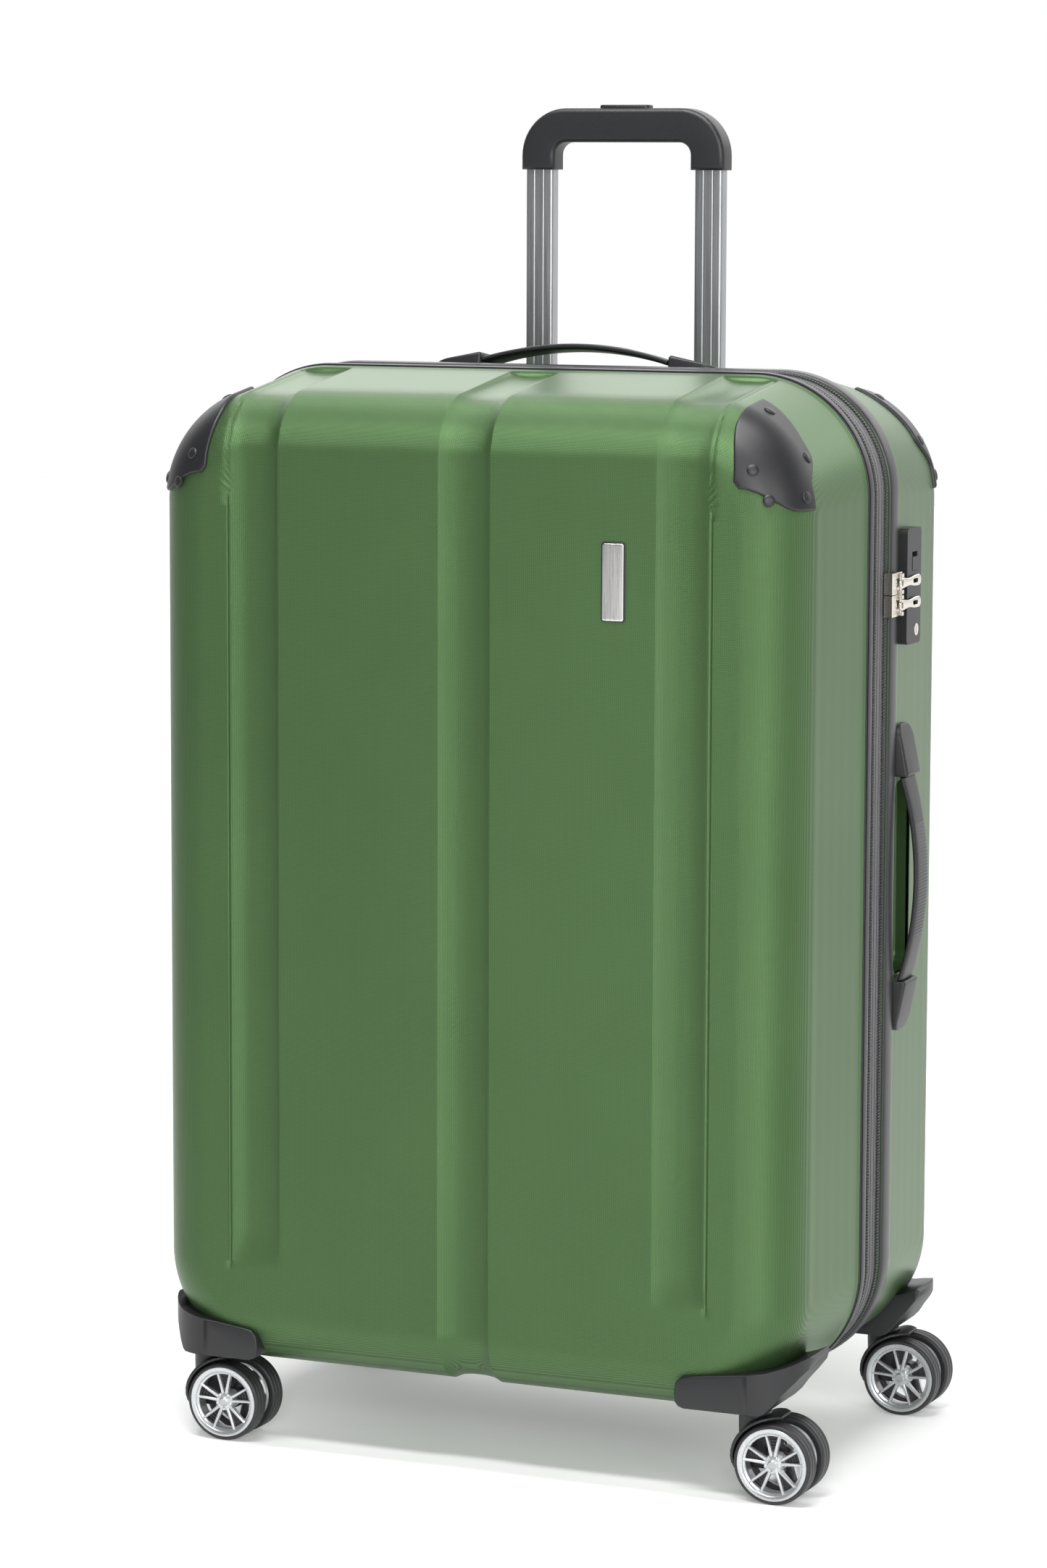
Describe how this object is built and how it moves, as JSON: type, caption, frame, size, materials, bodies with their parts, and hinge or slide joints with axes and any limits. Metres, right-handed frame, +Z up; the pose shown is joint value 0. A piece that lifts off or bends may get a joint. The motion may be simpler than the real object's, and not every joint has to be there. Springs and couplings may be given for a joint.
{
  "type": "hard shell suitcase on wheels",
  "caption": "Upright hard shell suitcase with ribbed shells, zips, an expander, corner guards, a telescopic trolley handle, carry handles, a side lock and twin-wheel swivel casters.",
  "frame": {"origin": "centre of the object's box, at floor level", "axes": "+Z up, +Y to the back (trolley side), -Y the front face, +X the lock and side handle"},
  "size_m": [0.5062, 0.3196, 0.9375],
  "materials": {
    "shell_plastic": "satin, fine diagonal cross-hatch emboss",
    "dark_plastic": "fine moulded grain",
    "rubber_bead": "satin rubber",
    "tyre_rubber": "smooth rubber",
    "wheel_silver": "silver paint on moulded plastic",
    "tube_metal": "anodised, brushed lengthways",
    "zip_metal": "warm nickel plate",
    "plate_metal": "brushed badge",
    "zip_cloth": "woven tape with coil teeth",
    "lining_cloth": "plain woven polyester",
    "strap_cloth": "ribbed webbing",
    "steel": "zinc plated"
  },
  "bodies": {
    "back_half": {"back_shell": "shell_plastic", "back_gasket": "rubber_bead", "main_zip_tape": "zip_cloth", "hinge_strip": "zip_cloth", "lock_housing": "dark_plastic", "side_handle_caps": "dark_plastic", "top_handle_caps": "dark_plastic", "back_corner_guards": "dark_plastic", "back_guard_rivets": "dark_plastic", "caster_housing_bl": "dark_plastic", "caster_housing_br": "dark_plastic", "trolley_outer_tubes": "tube_metal", "trolley_cup": "dark_plastic", "trolley_foot": "dark_plastic", "back_lining": "lining_cloth", "back_straps": "strap_cloth"},
    "gusset_frame": {"gusset_band": "zip_cloth"},
    "front_half": {"front_shell": "shell_plastic", "front_gasket": "rubber_bead", "front_zip_tape": "zip_cloth", "nameplate": "plate_metal", "front_corner_guards": "dark_plastic", "front_guard_rivets": "dark_plastic", "caster_housing_fl": "dark_plastic", "caster_housing_fr": "dark_plastic", "front_lining": "lining_cloth", "front_straps": "strap_cloth"},
    "trolley": {"trolley_tubes": "tube_metal", "trolley_grip": "dark_plastic"},
    "grip_button": {"trolley_button": "dark_plastic", "release_rods": "steel"},
    "side_handle": {"side_handle_grip": "dark_plastic"},
    "top_handle": {"top_handle_grip": "dark_plastic"},
    "upper_slider": {"upper_zip_slider": "zip_metal"},
    "upper_pull": {"upper_zip_pull": "zip_metal"},
    "lower_slider": {"lower_zip_slider": "zip_metal"},
    "lower_pull": {"lower_zip_pull": "zip_metal"},
    "lock_latch": {"lock_button": "dark_plastic", "latch_bar": "steel"},
    "key_barrel": {"key_cylinder": "steel"},
    "caster_fl": {"caster_fork_fl": "dark_plastic"},
    "wheel_fl_front": {"tyre_fl_front": "tyre_rubber", "rim_fl_front": "wheel_silver"},
    "wheel_fl_back": {"tyre_fl_back": "tyre_rubber", "rim_fl_back": "wheel_silver"},
    "caster_fr": {"caster_fork_fr": "dark_plastic"},
    "wheel_fr_front": {"tyre_fr_front": "tyre_rubber", "rim_fr_front": "wheel_silver"},
    "wheel_fr_back": {"tyre_fr_back": "tyre_rubber", "rim_fr_back": "wheel_silver"},
    "caster_bl": {"caster_fork_bl": "dark_plastic"},
    "wheel_bl_front": {"tyre_bl_front": "tyre_rubber", "rim_bl_front": "wheel_silver"},
    "wheel_bl_back": {"tyre_bl_back": "tyre_rubber", "rim_bl_back": "wheel_silver"},
    "caster_br": {"caster_fork_br": "dark_plastic"},
    "wheel_br_front": {"tyre_br_front": "tyre_rubber", "rim_br_front": "wheel_silver"},
    "wheel_br_back": {"tyre_br_back": "tyre_rubber", "rim_br_back": "wheel_silver"}
  },
  "joints": [
    {"name": "lid_hinge", "type": "hinge", "parent": "back_half", "child": "gusset_frame", "pos_m": [-0.2561, 0.007, 0.404], "axis": [0, 0, -1], "range_deg": [0, 180]},
    {"name": "expander_slide", "type": "slide", "parent": "gusset_frame", "child": "front_half", "axis": [0, -1, 0], "range_m": [0, 0.04]},
    {"name": "trolley_slide", "type": "slide", "parent": "back_half", "child": "trolley", "axis": [0, 0, 1], "range_m": [-0.19, 0.1]},
    {"name": "grip_button_press", "type": "slide", "parent": "trolley", "child": "grip_button", "axis": [0, 0, -1], "range_m": [0, 0.003], "stiffness_N_per_m": 900, "springref_m": -0.002},
    {"name": "side_handle_lift", "type": "slide", "parent": "back_half", "child": "side_handle", "axis": [0.9988, 0.0492, 0], "range_m": [0, 0.005], "stiffness_N_per_m": 600},
    {"name": "top_handle_lift", "type": "slide", "parent": "back_half", "child": "top_handle", "axis": [0, 0.1399, 0.9902], "range_m": [0, 0.005], "stiffness_N_per_m": 600},
    {"name": "upper_slider_run", "type": "slide", "parent": "back_half", "child": "upper_slider", "axis": [0, 0, 1], "range_m": [0, 0.05]},
    {"name": "lower_slider_run", "type": "slide", "parent": "back_half", "child": "lower_slider", "axis": [0, 0, -1], "range_m": [0, 0.07]},
    {"name": "upper_pull_swing", "type": "hinge", "parent": "upper_slider", "child": "upper_pull", "pos_m": [0.2433, 0.017, 0.6103], "axis": [0, 0, -1], "range_deg": [0, 100]},
    {"name": "lower_pull_swing", "type": "hinge", "parent": "lower_slider", "child": "lower_pull", "pos_m": [0.2433, 0.017, 0.5951], "axis": [0, 0, -1], "range_deg": [0, 100]},
    {"name": "lock_button_slide", "type": "slide", "parent": "back_half", "child": "lock_latch", "axis": [0, 0, 1], "range_m": [0, 0.003], "stiffness_N_per_m": 300},
    {"name": "key_turn", "type": "hinge", "parent": "back_half", "child": "key_barrel", "pos_m": [0.2355, 0.0545, 0.5755], "axis": [1, 0, 0], "range_deg": [0, 90]},
    {"name": "swivel_fl", "type": "hinge", "parent": "front_half", "child": "caster_fl", "pos_m": [-0.2142, -0.13105, 0.0605], "axis": [0, 0, 1], "continuous": true},
    {"name": "roll_fl_front", "type": "hinge", "parent": "caster_fl", "child": "wheel_fl_front", "pos_m": [-0.1949, -0.14455, 0.0276], "axis": [0, 1, 0], "continuous": true},
    {"name": "roll_fl_back", "type": "hinge", "parent": "caster_fl", "child": "wheel_fl_back", "pos_m": [-0.1949, -0.11755, 0.0276], "axis": [0, 1, 0], "continuous": true},
    {"name": "swivel_fr", "type": "hinge", "parent": "front_half", "child": "caster_fr", "pos_m": [0.1988, -0.13105, 0.0605], "axis": [0, 0, 1], "continuous": true},
    {"name": "roll_fr_front", "type": "hinge", "parent": "caster_fr", "child": "wheel_fr_front", "pos_m": [0.2181, -0.14455, 0.0276], "axis": [0, 1, 0], "continuous": true},
    {"name": "roll_fr_back", "type": "hinge", "parent": "caster_fr", "child": "wheel_fr_back", "pos_m": [0.2181, -0.11755, 0.0276], "axis": [0, 1, 0], "continuous": true},
    {"name": "swivel_bl", "type": "hinge", "parent": "back_half", "child": "caster_bl", "pos_m": [-0.2142, 0.12985, 0.0605], "axis": [0, 0, 1], "continuous": true},
    {"name": "roll_bl_front", "type": "hinge", "parent": "caster_bl", "child": "wheel_bl_front", "pos_m": [-0.1949, 0.11635, 0.0276], "axis": [0, 1, 0], "continuous": true},
    {"name": "roll_bl_back", "type": "hinge", "parent": "caster_bl", "child": "wheel_bl_back", "pos_m": [-0.1949, 0.14335, 0.0276], "axis": [0, 1, 0], "continuous": true},
    {"name": "swivel_br", "type": "hinge", "parent": "back_half", "child": "caster_br", "pos_m": [0.1988, 0.12985, 0.0605], "axis": [0, 0, 1], "continuous": true},
    {"name": "roll_br_front", "type": "hinge", "parent": "caster_br", "child": "wheel_br_front", "pos_m": [0.2181, 0.11635, 0.0276], "axis": [0, 1, 0], "continuous": true},
    {"name": "roll_br_back", "type": "hinge", "parent": "caster_br", "child": "wheel_br_back", "pos_m": [0.2181, 0.14335, 0.0276], "axis": [0, 1, 0], "continuous": true}
  ]
}
